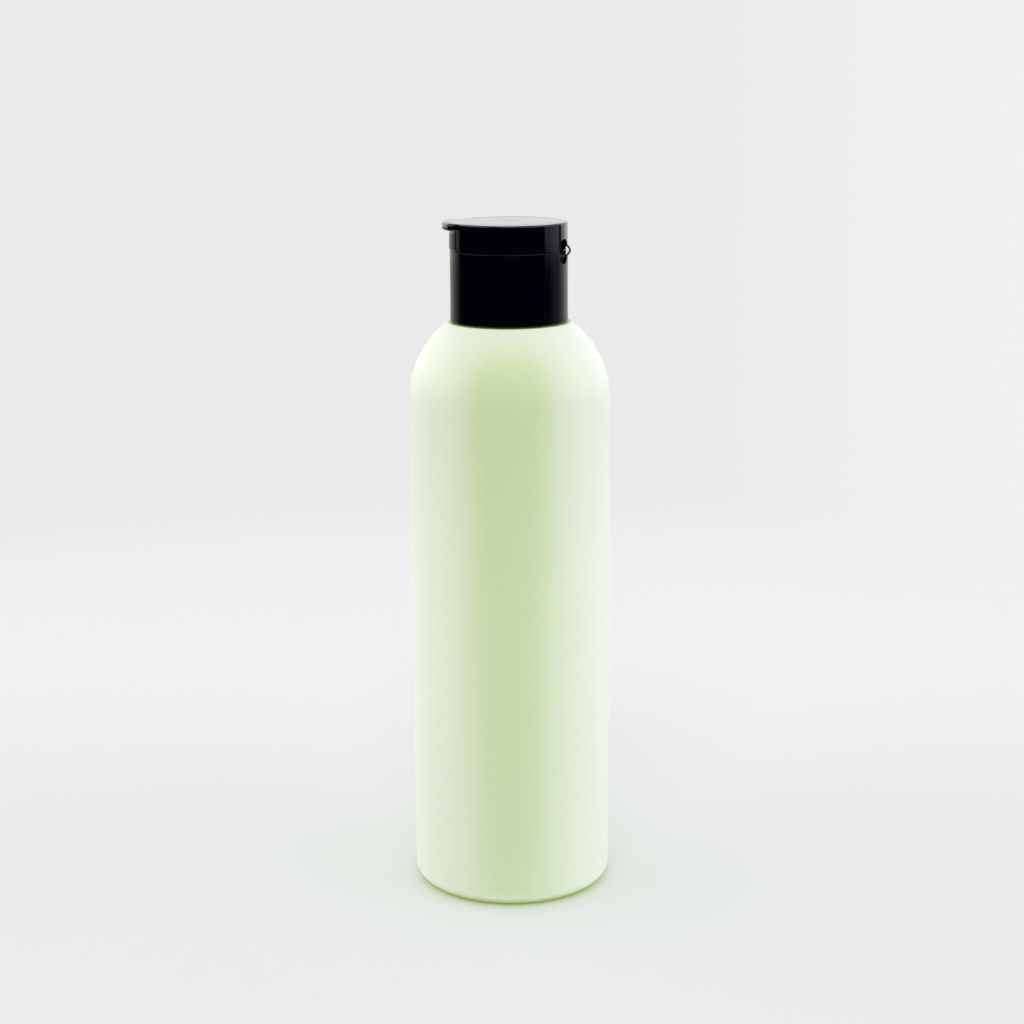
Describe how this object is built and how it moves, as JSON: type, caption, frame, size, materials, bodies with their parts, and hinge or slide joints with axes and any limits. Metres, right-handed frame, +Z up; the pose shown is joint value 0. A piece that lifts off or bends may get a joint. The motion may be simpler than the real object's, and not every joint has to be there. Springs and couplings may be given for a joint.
{
  "type": "cosmetic bottle",
  "caption": "Blown round bottle with a bullet shoulder and a screw-on flip-top closure that dispenses lotion or gel.",
  "frame": {"origin": "on the bottle's axis, in the plane of the ring that it stands on", "axes": "+Z up the bottle's axis, -X towards the lid's thumb tab, +X towards the hinge, -Y towards the viewer"},
  "size_m": [0.051, 0.051, 0.1727],
  "materials": {
    "bottle_wall": "satin pale green polyethylene",
    "seal_foam": "soft white foam",
    "closure_plastic": "satin black polypropylene",
    "lid_plastic": "polished black polypropylene"
  },
  "bodies": {
    "bottle": {"bottle": "bottle_wall"},
    "seal": {"neck_seal": "seal_foam"},
    "closure": {"closure_base": "closure_plastic", "hinge_film": "closure_plastic"},
    "lid": {"lid": "lid_plastic"}
  },
  "joints": [
    {"name": "cap_rise", "type": "slide", "parent": "bottle", "child": "seal", "axis": [0, 0, 1], "range_m": [0, 0.00476]},
    {"name": "cap_turn", "type": "hinge", "parent": "seal", "child": "closure", "pos_m": [0, 0, 0.164], "axis": [0, 0, 1], "range_deg": [0, 540]},
    {"name": "lid_flip", "type": "hinge", "parent": "closure", "child": "lid", "pos_m": [0.01533, 0, 0.1656], "axis": [0, 1, 0], "range_deg": [0, 150], "deforming": ["hinge_film"]}
  ],
  "couplings": [
    {"joint": "cap_rise", "follows": "cap_turn", "m_per_rad": 0.00050532}
  ]
}
